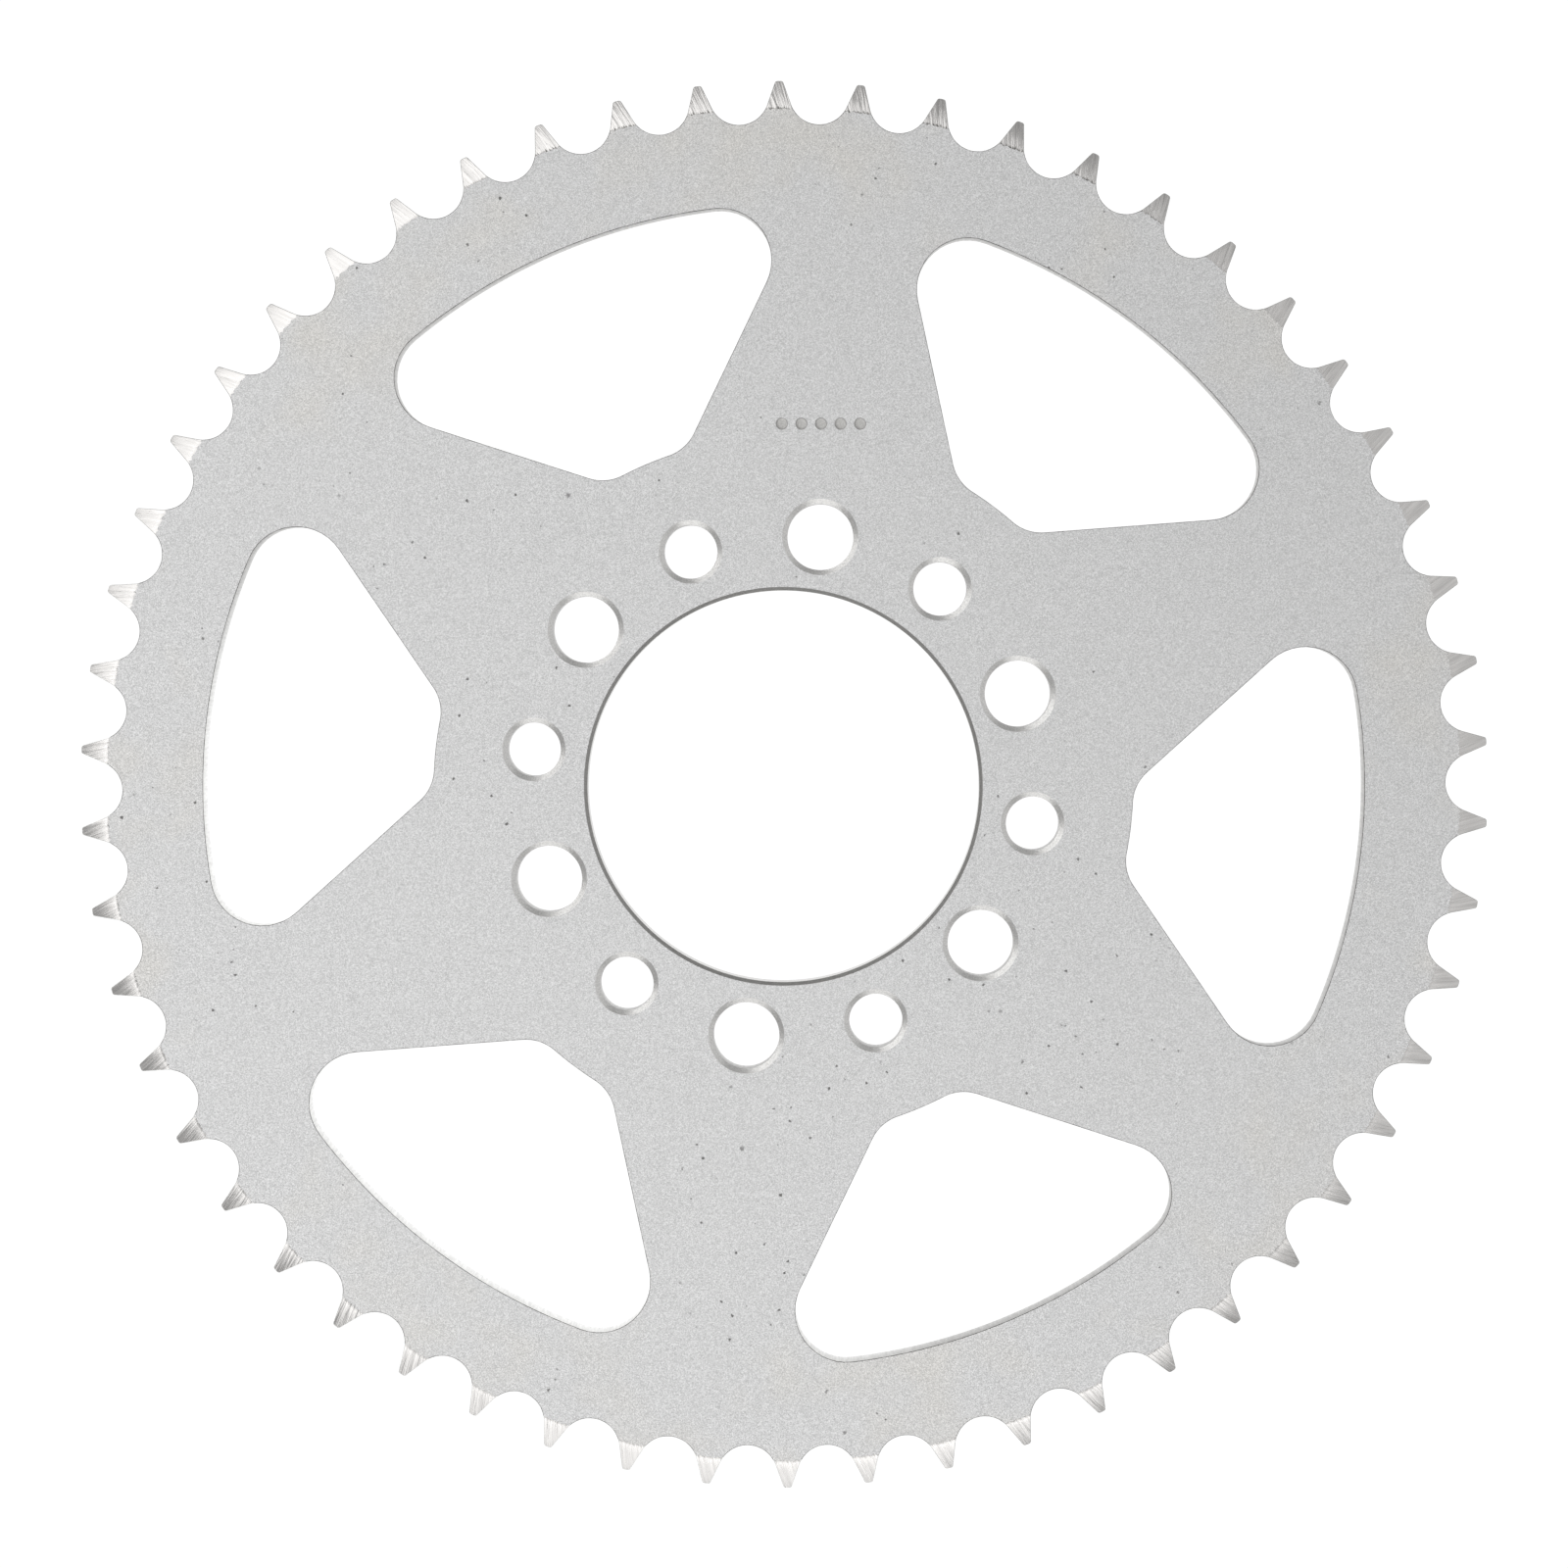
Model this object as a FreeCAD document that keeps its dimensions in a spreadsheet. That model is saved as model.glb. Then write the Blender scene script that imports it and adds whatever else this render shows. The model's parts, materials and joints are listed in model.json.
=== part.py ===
"""Rear chain sprocket: one steel plate for a 428 roller chain, with 54 teeth, six windows and two bolt rings.

Frame: the plate lies on its back face at z = 0, its front face looks up +Z, the bore is on the Z axis, and the
middle of one small bolt hole lies on +X. Millimetres throughout.
"""
import FreeCAD, Part
import math
import os
import Sketcher

App = FreeCAD
Vec = App.Vector

# Driving dimensions, in millimetres and degrees. Each one is written here only.
DIMS = {
    "tooth_count": 54,
    "chain_pitch": 12.7,            # pin to pin
    "roller_diameter": 8.51,        # chain roller
    "plate_thickness": 7.2,         # runs inside a 7.75 mm wide inner link
    "seat_clearance": 0.495,        # between the roller and the round seat of a tooth gap, on the radius
    "flank_lean": 22.0,             # tooth flank to the middle line of its gap
    "tooth_top": 1.18,              # width left between the flanks at a tooth's top
    "tip_corner_radius": 0.45,      # rounding at each side of a tooth's top
    "relief_length": 4.7,           # how far the side relief runs in from the tooth tips
    "relief_depth": 1.6,            # taken off each side at the tooth tips
    "bore_diameter": 62.2,
    "bore_chamfer": 0.55,
    "bore_to_bolts": 8.9,           # bore wall to the bolt circle
    "bolts_per_ring": 6,
    "small_bolt_hole": 8.5,
    "large_bolt_hole": 10.5,
    "countersink_width": 0.8,       # ring left round each bolt hole by its countersink
    "countersink_angle": 120.0,     # whole angle of the countersink
    "window_count": 6,
    "hub_land": 15.5,               # bolt circle to the inner edge of the windows
    "rim_width": 12.8,              # outer edge of the windows to the tooth roots
    "hub_arc_share": 0.1379,        # a window's inner arc, as a share of its own sector
    "rim_arc_share": 0.5456,        # a window's outer arc, as a share of its own sector
    "window_inner_corner": 6.95,
    "window_outer_corner": 8.15,
    "window_phase": 1.65,           # middle of a window, from the small bolt hole on +X
    "tooth_phase": 2.11,            # middle of a tooth gap, from the small bolt hole on +X
    "mark_dots": 5,                 # plain round impressions that stand for a batch mark
    "mark_dot_diameter": 1.9,
    "mark_dot_pitch": 3.1,
    "mark_depth": 0.15,
    "mark_spoke": 1.5,              # windows passed from the first one to the marked spoke
    "mark_shift": 0.85,             # middle of the row, from the middle of its spoke
    "mark_rise": 2.3,               # middle of the row, out from the windows' inner circle
    "mark_tilt": 5.9,               # direction of the row, from square to its own radius
    "cut_margin": 1.0,              # how far a cutting shape reaches past what it cuts
}

# Sizes that follow from the driving dimensions, as expressions that the document evaluates.
ROOT_RADIUS = "(dims.chain_pitch / (2 * sin(180 deg / dims.tooth_count)) - dims.roller_diameter / 2)"
SEAT_RADIUS = "(dims.roller_diameter / 2 + dims.seat_clearance)"
SEAT_CENTRE = f"({ROOT_RADIUS} + {SEAT_RADIUS})"
# Where the flanks of a tooth come as near as its top is wide, along the tooth's own middle line.
FLANK_TO_TOOTH = "((dims.flank_lean - 180 / dims.tooth_count) * 1 deg)"
TIP_RADIUS = (f"(({SEAT_CENTRE} * sin(dims.flank_lean * 1 deg) - {SEAT_RADIUS}"
              f" - dims.tooth_top / 2 * cos({FLANK_TO_TOOTH})) / sin({FLANK_TO_TOOTH}))")
RELIEF_START = f"({TIP_RADIUS} - dims.relief_length)"
BOLT_RADIUS = "(dims.bore_diameter / 2 + dims.bore_to_bolts)"
COUNTERSINK_SPREAD = "tan(dims.countersink_angle / 2 * 1 deg)"
COUNTERSINK_DEPTH = f"(dims.countersink_width / {COUNTERSINK_SPREAD})"
WINDOW_INNER = f"({BOLT_RADIUS} + dims.hub_land)"
WINDOW_OUTER = f"({ROOT_RADIUS} - dims.rim_width)"
HUB_ARC_SPAN = "(360 / dims.window_count * dims.hub_arc_share)"
RIM_ARC_SPAN = "(360 / dims.window_count * dims.rim_arc_share)"
MARK_RADIUS = f"({WINDOW_INNER} + dims.mark_rise)"
MARK_ANGLE = "((dims.window_phase + dims.mark_spoke * 360 / dims.window_count + dims.mark_shift) * 1 deg)"
MARK_DIRECTION = f"({MARK_ANGLE} - (90 - dims.mark_tilt) * 1 deg)"

START, END, CENTRE = 1, 2, 3        # a sketch element's own points
ORIGIN, X_AXIS = -1, -1             # the sketch's own origin and X axis

doc = App.newDocument("rear_sprocket")


def make_sheet():
    """Write the driving dimensions to the sheet, one named cell each."""
    cells = doc.addObject("Spreadsheet::Sheet", "dims")
    for row, (alias, size) in enumerate(DIMS.items(), start=1):
        cells.set(f"A{row}", str(size))
        cells.setAlias(f"A{row}", alias)
    doc.recompute()
    return cells


sheet = make_sheet()


def size_of(expression):
    """The number that an expression of the sheet's dimensions gives."""
    return float(sheet.evalExpression(expression))


def polar(radius, degrees):
    """A point of the sketch plane, from its radius and its angle from the sketch's X axis."""
    return Vec(radius * math.cos(math.radians(degrees)), radius * math.sin(math.radians(degrees)), 0)


def below(point):
    """The mirror image of a sketch point on the other side of the X axis."""
    return Vec(point.x, -point.y, 0)


def new_sketch(body, name, plane, turn="0", height="0", about=Vec(0, 0, 1)):
    """Add a sketch on one of the body's origin planes, turned about an axis and lifted off it."""
    sketch = body.newObject("Sketcher::SketchObject", name)
    support = next(item for item in body.Origin.OriginFeatures if item.Role == plane)
    sketch.AttachmentSupport = [(support, "")]
    sketch.MapMode = "FlatFace"
    sketch.AttachmentOffset = App.Placement(Vec(0, 0, size_of(height)), App.Rotation(about, size_of(turn)))
    if turn != "0":
        sketch.setExpression(".AttachmentOffset.Rotation.Angle", turn)
    if height != "0":
        sketch.setExpression(".AttachmentOffset.Base.z", height)
    return sketch


def bind(sketch, name, kind, *where, expression):
    """Add one named dimension to a sketch and bind it to the sheet."""
    number = size_of(expression)
    if kind == "Angle":
        number = math.radians(number)
    index = sketch.addConstraint(Sketcher.Constraint(kind, *where, number))
    sketch.renameConstraint(index, name)
    sketch.setExpression(f"Constraints.{name}", expression)


def tie(sketch, kind, *where):
    """Add one constraint that has no size."""
    return sketch.addConstraint(Sketcher.Constraint(kind, *where))


def add_line(sketch, start, end, construction=False):
    """Add a straight edge."""
    return sketch.addGeometry(Part.LineSegment(start, end), construction)


def add_arc(sketch, centre, radius, first, last):
    """Add an arc that turns counter-clockwise between two angles in degrees."""
    circle = Part.Circle(centre, Vec(0, 0, 1), radius)
    return sketch.addGeometry(Part.ArcOfCircle(circle, math.radians(first), math.radians(last)), False)


def origin_axis(body, role):
    """One of the body's own origin axes."""
    return next(item for item in body.Origin.OriginFeatures if item.Role == role)


def closed_chain(sketch, points):
    """Draw a closed outline of straight edges and join its corners."""
    edges = [add_line(sketch, start, end) for start, end in zip(points, points[1:] + points[:1])]
    for before, after in zip(edges, edges[1:] + edges[:1]):
        tie(sketch, "Coincident", before, END, after, START)
    return edges


def place_corner(sketch, edge, name, across, up):
    """Fix where an edge starts, by its distances from the sketch's axes."""
    bind(sketch, f"{name}_across", "DistanceX", ORIGIN, START, edge, START, expression=across)
    bind(sketch, f"{name}_up", "DistanceY", ORIGIN, START, edge, START, expression=up)


def draw_section(sketch, corners):
    """Draw a closed section from named corners, each one given by two expressions."""
    points = [Vec(size_of(across), size_of(up), 0) for _, across, up in corners]
    edges = closed_chain(sketch, points)
    for edge, (name, across, up) in zip(edges, corners):
        place_corner(sketch, edge, name, across, up)
    return edges


def make_blank(body):
    """Turn the round blank: bore with chamfered edges, flat faces and relieved sides under the tips."""
    sketch = new_sketch(body, "blank_section", "XZ_Plane")
    bore, chamfer, top = "dims.bore_diameter / 2", "dims.bore_chamfer", "dims.plate_thickness"
    draw_section(sketch, [
        ("back_bore_edge", f"{bore} + {chamfer}", "0"),
        ("back_relief", RELIEF_START, "0"),
        ("back_tip", TIP_RADIUS, "dims.relief_depth"),
        ("front_tip", TIP_RADIUS, f"{top} - dims.relief_depth"),
        ("front_relief", RELIEF_START, top),
        ("front_bore_edge", f"{bore} + {chamfer}", top),
        ("front_bore_wall", bore, f"{top} - {chamfer}"),
        ("back_bore_wall", bore, chamfer),
    ])
    blank = body.newObject("PartDesign::Revolution", "blank")
    blank.Profile = sketch
    blank.ReferenceAxis = (sketch, ["V_Axis"])
    blank.Angle = 360
    return blank


def draw_tooth_gap(sketch):
    """Draw one tooth gap along +X: round seat, leaning flanks and the rounded corners of both teeth."""
    lean, seat = size_of("dims.flank_lean"), size_of(SEAT_RADIUS)
    centre = Vec(size_of(SEAT_CENTRE), 0, 0)
    tip, corner = size_of(TIP_RADIUS), size_of("dims.tip_corner_radius")
    outside = tip + size_of("dims.cut_margin")
    # Middle of a tooth corner's rounding: its own radius behind the flank and inside the tip circle.
    normal, along = polar(1, lean + 90), polar(1, lean)
    offset = centre.dot(normal) + seat + corner
    rounding = normal * offset + along * math.sqrt((tip - corner) ** 2 - offset ** 2)
    swing = math.degrees(math.atan2(rounding.y, rounding.x))

    seat_arc = add_arc(sketch, centre, seat, 90 + lean, 270 - lean)
    upper_flank = add_line(sketch, centre + normal * seat, rounding - normal * corner)
    upper_round = add_arc(sketch, rounding, corner, lean - 90, swing)
    upper_exit = add_line(sketch, polar(tip, swing), polar(outside, swing))
    lower_flank = add_line(sketch, below(centre + normal * seat), below(rounding - normal * corner))
    lower_round = add_arc(sketch, below(rounding), corner, -swing, 90 - lean)
    lower_exit = add_line(sketch, polar(tip, -swing), polar(outside, -swing))
    outer_arc = add_arc(sketch, Vec(), outside, -swing, swing)
    tip_circle = sketch.addGeometry(Part.Circle(Vec(), Vec(0, 0, 1), tip), True)

    for arc in (outer_arc, tip_circle):
        tie(sketch, "Coincident", arc, CENTRE, ORIGIN, START)
    tie(sketch, "PointOnObject", seat_arc, CENTRE, X_AXIS)
    bind(sketch, "tip_radius", "Radius", tip_circle, expression=TIP_RADIUS)
    bind(sketch, "outer_radius", "Radius", outer_arc, expression=f"{TIP_RADIUS} + dims.cut_margin")
    bind(sketch, "seat_radius", "Radius", seat_arc, expression=SEAT_RADIUS)
    bind(sketch, "seat_centre", "DistanceX", ORIGIN, START, seat_arc, CENTRE, expression=SEAT_CENTRE)
    bind(sketch, "corner_radius", "Radius", upper_round, expression="dims.tip_corner_radius")
    tie(sketch, "Equal", upper_round, lower_round)
    bind(sketch, "upper_lean", "Angle", upper_flank, expression="dims.flank_lean")
    bind(sketch, "lower_lean", "Angle", lower_flank, expression="-dims.flank_lean")
    for flank, seat_end, arc, arc_start, leave, arc_end in (
            (upper_flank, START, upper_round, START, upper_exit, END),
            (lower_flank, END, lower_round, END, lower_exit, START)):
        tie(sketch, "Tangent", seat_arc, seat_end, flank, START)
        tie(sketch, "Tangent", flank, END, arc, arc_start)
        tie(sketch, "Tangent", arc, arc_end, tip_circle)
        tie(sketch, "Coincident", arc, arc_end, leave, START)
        tie(sketch, "PointOnObject", ORIGIN, START, leave)
    tie(sketch, "Coincident", upper_exit, END, outer_arc, END)
    tie(sketch, "Coincident", lower_exit, END, outer_arc, START)


def draw_window(sketch):
    """Draw one window along +X: hub arc, rim arc, two straight spoke sides and four rounded corners."""
    inner, outer = size_of(WINDOW_INNER), size_of(WINDOW_OUTER)
    inner_corner, outer_corner = size_of("dims.window_inner_corner"), size_of("dims.window_outer_corner")
    inner_swing, outer_swing = size_of(HUB_ARC_SPAN) / 2, size_of(RIM_ARC_SPAN) / 2
    inner_middle = polar(inner + inner_corner, inner_swing)
    outer_middle = polar(outer - outer_corner, outer_swing)
    # The spoke side touches both corners' circles, on the side away from the window's middle line.
    reach = outer_middle - inner_middle
    lean = math.degrees(math.atan2(reach.y, reach.x)
                        + math.asin((outer_corner - inner_corner) / reach.Length))
    normal = polar(1, lean + 90)

    hub_arc = add_arc(sketch, Vec(), inner, -inner_swing, inner_swing)
    rim_arc = add_arc(sketch, Vec(), outer, -outer_swing, outer_swing)
    upper_inner = add_arc(sketch, inner_middle, inner_corner, lean + 90, inner_swing + 180)
    upper_outer = add_arc(sketch, outer_middle, outer_corner, outer_swing, lean + 90)
    upper_side = add_line(sketch, inner_middle + normal * inner_corner, outer_middle + normal * outer_corner)
    lower_inner = add_arc(sketch, below(inner_middle), inner_corner, 180 - inner_swing, 270 - lean)
    lower_outer = add_arc(sketch, below(outer_middle), outer_corner, 270 - lean, 360 - outer_swing)
    lower_side = add_line(sketch, below(inner_middle + normal * inner_corner),
                          below(outer_middle + normal * outer_corner))

    for arc, name, radius, span in ((hub_arc, "hub", WINDOW_INNER, HUB_ARC_SPAN),
                                    (rim_arc, "rim", WINDOW_OUTER, RIM_ARC_SPAN)):
        tie(sketch, "Coincident", arc, CENTRE, ORIGIN, START)
        tie(sketch, "Symmetric", arc, START, arc, END, X_AXIS)
        bind(sketch, f"{name}_radius", "Radius", arc, expression=radius)
        bind(sketch, f"{name}_span", "Angle", arc, expression=span)
    for upper, lower, name in ((upper_inner, lower_inner, "inner"), (upper_outer, lower_outer, "outer")):
        bind(sketch, f"{name}_corner", "Radius", upper, expression=f"dims.window_{name}_corner")
        tie(sketch, "Equal", upper, lower)
    for before, before_end, after, after_end in (
            (hub_arc, END, upper_inner, END), (upper_inner, START, upper_side, START),
            (upper_side, END, upper_outer, END), (upper_outer, START, rim_arc, END),
            (rim_arc, START, lower_outer, END), (lower_outer, START, lower_side, END),
            (lower_side, START, lower_inner, END), (lower_inner, START, hub_arc, START)):
        tie(sketch, "Tangent", before, before_end, after, after_end)


def draw_bolt_hole(sketch, diameter):
    """Draw half the section of a countersunk through hole beside its own axis, on the bolt circle."""
    middle, radius = BOLT_RADIUS, f"{diameter} / 2"
    top, margin = "dims.plate_thickness", "dims.cut_margin"
    wide = f"{middle} + {radius} + dims.countersink_width + {margin} * {COUNTERSINK_SPREAD}"
    edges = draw_section(sketch, [
        ("axis_back", middle, f"-{margin}"),
        ("back_mouth", wide, f"-{margin}"),
        ("back_wall", f"{middle} + {radius}", COUNTERSINK_DEPTH),
        ("front_wall", f"{middle} + {radius}", f"{top} - {COUNTERSINK_DEPTH}"),
        ("front_mouth", wide, f"{top} + {margin}"),
        ("axis_front", middle, f"{top} + {margin}"),
    ])
    low = Vec(size_of(middle), -size_of(margin), 0)
    high = Vec(size_of(middle), size_of(f"{top} + {margin}"), 0)
    axis = add_line(sketch, low, high, construction=True)
    tie(sketch, "Coincident", axis, START, edges[0], START)
    tie(sketch, "Coincident", axis, END, edges[-1], START)


def repeat(body, feature, name, count):
    """Repeat a cut evenly about the bore axis."""
    pattern = body.newObject("PartDesign::PolarPattern", name)
    pattern.Originals = [feature]
    pattern.Axis = (origin_axis(body, "Z_Axis"), [""])
    pattern.Angle = 360
    pattern.setExpression("Occurrences", count)
    body.Tip = pattern
    doc.recompute()
    return pattern


def cut_through(body, sketch, name):
    """Cut a sketch's outline right through the plate."""
    pocket = body.newObject("PartDesign::Pocket", name)
    pocket.Profile = sketch
    pocket.Type = "ThroughAll"
    pocket.Midplane = True
    doc.recompute()
    return pocket


def bore_bolt_holes(body, kind, turn):
    """Drill and countersink one ring of bolt holes on both faces."""
    sketch = new_sketch(body, f"{kind}_bolt_hole_section", "XZ_Plane", turn=turn, about=Vec(0, 1, 0))
    draw_bolt_hole(sketch, f"dims.{kind}_bolt_hole")
    hole = body.newObject("PartDesign::Groove", f"{kind}_bolt_hole")
    hole.Profile = sketch
    hole.ReferenceAxis = (sketch, ["Axis0"])
    hole.Angle = 360
    doc.recompute()
    return repeat(body, hole, f"{kind}_bolt_holes", "dims.bolts_per_ring")


def press_mark(body):
    """Press the row of round dots into the front face."""
    sketch = new_sketch(body, "mark_outline", "XY_Plane", height="dims.plate_thickness")
    count = int(size_of("dims.mark_dots"))
    for index in range(count):
        step = f"({index} - (dims.mark_dots - 1) / 2) * dims.mark_dot_pitch"
        across = f"{MARK_RADIUS} * cos({MARK_ANGLE}) + {step} * cos({MARK_DIRECTION})"
        up = f"{MARK_RADIUS} * sin({MARK_ANGLE}) + {step} * sin({MARK_DIRECTION})"
        circle = Part.Circle(Vec(size_of(across), size_of(up), 0), Vec(0, 0, 1),
                             size_of("dims.mark_dot_diameter / 2"))
        dot = sketch.addGeometry(circle, False)
        bind(sketch, f"dot_{index}_radius", "Radius", dot, expression="dims.mark_dot_diameter / 2")
        bind(sketch, f"dot_{index}_across", "DistanceX", ORIGIN, START, dot, CENTRE, expression=across)
        bind(sketch, f"dot_{index}_up", "DistanceY", ORIGIN, START, dot, CENTRE, expression=up)
    mark = body.newObject("PartDesign::Pocket", "mark")
    mark.Profile = sketch
    mark.Type = "Length"
    mark.setExpression("Length", "dims.mark_depth")
    body.Tip = mark
    doc.recompute()
    return mark


def make_plate():
    """Build the whole sprocket plate, in the order in which it is made."""
    body = doc.addObject("PartDesign::Body", "sprocket_plate")
    body.Label = "sprocket_plate"
    volumes = []

    def note_volume(step):
        """Keep the volume after a step, so that a cut that missed the plate shows."""
        doc.recompute()
        volumes.append((step, body.Shape.Volume))

    make_blank(body)
    note_volume("blank")
    window = new_sketch(body, "window_outline", "XY_Plane", turn="dims.window_phase")
    draw_window(window)
    repeat(body, cut_through(body, window, "window"), "windows", "dims.window_count")
    note_volume("windows")
    bore_bolt_holes(body, "small", "0")
    note_volume("small bolt holes")
    bore_bolt_holes(body, "large", "180 / dims.bolts_per_ring")
    note_volume("large bolt holes")
    gap = new_sketch(body, "tooth_gap_outline", "XY_Plane", turn="dims.tooth_phase")
    draw_tooth_gap(gap)
    repeat(body, cut_through(body, gap, "tooth_gap"), "tooth_gaps", "dims.tooth_count")
    note_volume("tooth gaps")
    press_mark(body)
    note_volume("mark")
    return body, volumes


def check_document(volumes):
    """Stop if an object failed, a sketch is loose or a cut removed nothing."""
    for item in doc.Objects:
        bad = {"Invalid", "Error"} & set(item.State)
        if bad:
            raise RuntimeError(f"{item.Name} is {sorted(bad)}")
        if item.TypeId == "Sketcher::SketchObject":
            print(f"{item.Name}: fully constrained {item.FullyConstrained}")
    for (_, before), (step, after) in zip(volumes, volumes[1:]):
        if after >= before:
            raise RuntimeError(f"{step} cut nothing")
        print(f"{step}: removed {before - after:.1f} mm3")


def export(body):
    """Write the finished plate to its STEP file."""
    shape = body.Shape
    if shape.isNull() or not shape.isValid() or len(shape.Solids) != 1:
        raise RuntimeError(f"{body.Label} is not one valid solid")
    os.makedirs("parts", exist_ok=True)
    shape.exportStep(f"parts/{body.Label}.step")
    box = shape.BoundBox
    print(f"{body.Label}: {shape.Volume:.0f} mm3, box {box.XLength:.2f} x {box.YLength:.2f} x {box.ZLength:.2f}")


plate, step_volumes = make_plate()
check_document(step_volumes)
export(plate)
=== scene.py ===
"""Rear chain sprocket, finished: one steel plate with a toothed rim, six windows and two rings of bolt holes.

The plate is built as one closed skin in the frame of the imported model. Each sub-assembly makes its own open
strips of surface (tooth, window, bolt hole, bore, mark), and a repeating tree sets them round the axis. The
two flat faces are then filled in between them. Builders work in millimetres; the finished mesh is in metres.
"""
import json
import logging
import math
import random
from collections.abc import Sequence
from dataclasses import dataclass, field
from enum import Enum

import bmesh
import bpy
from mathutils import Matrix, Vector


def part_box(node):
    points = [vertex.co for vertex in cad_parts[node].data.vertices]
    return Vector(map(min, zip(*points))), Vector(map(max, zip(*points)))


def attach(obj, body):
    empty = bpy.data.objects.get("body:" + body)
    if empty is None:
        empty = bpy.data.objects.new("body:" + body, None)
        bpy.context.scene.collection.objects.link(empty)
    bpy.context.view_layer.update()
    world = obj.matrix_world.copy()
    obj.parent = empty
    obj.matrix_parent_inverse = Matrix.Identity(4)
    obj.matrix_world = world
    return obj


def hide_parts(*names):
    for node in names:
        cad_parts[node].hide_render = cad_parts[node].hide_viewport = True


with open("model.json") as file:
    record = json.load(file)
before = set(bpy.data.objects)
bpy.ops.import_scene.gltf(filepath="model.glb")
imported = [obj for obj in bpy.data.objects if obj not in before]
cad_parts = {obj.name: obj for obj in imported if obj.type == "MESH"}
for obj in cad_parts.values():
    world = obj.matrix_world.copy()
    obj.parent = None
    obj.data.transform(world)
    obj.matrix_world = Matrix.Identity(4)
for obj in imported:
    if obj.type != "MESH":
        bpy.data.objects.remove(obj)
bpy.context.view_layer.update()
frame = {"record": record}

logging.basicConfig(level=logging.INFO, format="%(levelname)s %(message)s")
log = logging.getLogger("rear_sprocket")

MM = 0.001                      # one millimetre in metres
CAD_NODE = "sprocket_plate"
WELD_GAP = 0.002                # points closer than this, in millimetres, are one point
SMOOTH_TURN = 30.0              # an edge that turns by less than this, in degrees, is shaded smooth
SPREAD = (0.3, 0.7)             # where nearly all the values of a noise lie

Node = bpy.types.Node
Socket = bpy.types.NodeSocket
Tree = bpy.types.NodeTree
Colour = tuple[float, float, float, float]
Range = tuple[float, float]

MATH, VECTOR_MATH, RANGE = "ShaderNodeMath", "ShaderNodeVectorMath", "ShaderNodeMapRange"
NOISE, CELLS, MIX, BUMP = "ShaderNodeTexNoise", "ShaderNodeTexVoronoi", "ShaderNodeMix", "ShaderNodeBump"
JOIN_XYZ, SPLIT_XYZ, SPLIT_COLOUR = "ShaderNodeCombineXYZ", "ShaderNodeSeparateXYZ", "ShaderNodeSeparateColor"


class Zone(Enum):
    """The surfaces of the plate that a maker finishes in different ways."""

    FACE = 0
    RELIEF = 1
    WALL = 2
    EDGE = 3
    CHAMFER = 4
    BORE = 5
    BORE_EDGE = 6
    MARK = 7


Finishes = dict[Zone, bpy.types.Material]


# ---- small helpers


def linear(hex_colour: str) -> Colour:
    """Turn an sRGB colour into a linear one.

    Args:
        hex_colour: the colour, such as "#C8C8C6".

    Returns:
        Linear red, green and blue, and full alpha.
    """
    parts = [int(hex_colour[i:i + 2], 16) / 255 for i in (1, 3, 5)]
    red, green, blue = (p / 12.92 if p <= 0.04045 else ((p + 0.055) / 1.055) ** 2.4 for p in parts)
    return red, green, blue, 1.0


def per_metre(size_mm: float) -> float:
    """The texture scale at which one feature of a pattern is this many millimetres wide."""
    return 1.0 / (size_mm * MM)


def polar(radius: float, degrees: float, height: float = 0.0) -> Vector:
    """A point given by its distance from the bore axis, its angle from +X and its height."""
    angle = math.radians(degrees)
    return Vector((radius * math.cos(angle), radius * math.sin(angle), height))


def spaced(first: float, last: float, steps: int) -> list[float]:
    """Evenly spaced numbers from first to last, both included."""
    return [first + (last - first) * i / steps for i in range(steps + 1)]


def in_scene(name: str, data: bpy.types.ID) -> bpy.types.Object:
    """Make an object and link it to the scene.

    Args:
        name: the object's name.
        data: its mesh, light or camera.

    Returns:
        The object.
    """
    made = bpy.data.objects.new(name, data)
    bpy.context.scene.collection.objects.link(made)
    return made


def output_of(node: Node) -> Socket:
    """The first of a node's outputs that is in use."""
    return next(output for output in node.outputs if output.enabled)


@dataclass(frozen=True)
class Nodes:
    """A node tree that is being filled."""

    tree: Tree

    def add(self, kind: str, inputs: dict | Sequence = (), **settings: object) -> Node:
        """Add one node, with its settings and links.

        Args:
            kind: the node's type name.
            inputs: a value, an output or a node for each socket, by name or number, or in order.
            settings: the node's own properties.

        Returns:
            The new node.
        """
        made = self.tree.nodes.new(kind)
        for name, value in settings.items():
            setattr(made, name, value)
        for key, value in inputs.items() if isinstance(inputs, dict) else enumerate(inputs):
            if isinstance(value, (Node, Socket)):
                self.tree.links.new(output_of(value) if isinstance(value, Node) else value, made.inputs[key])
            else:
                made.inputs[key].default_value = value
        return made


@dataclass(frozen=True)
class Surface(Nodes):
    """A material's tree, with the shader to feed and where a point lies on the plate, in metres."""

    shader: Node
    place: Socket

    def feed(self, socket: str, node: Node) -> None:
        """Link a node to one of the shader's sockets."""
        self.tree.links.new(output_of(node), self.shader.inputs[socket])


# ---- strips of surface


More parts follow.
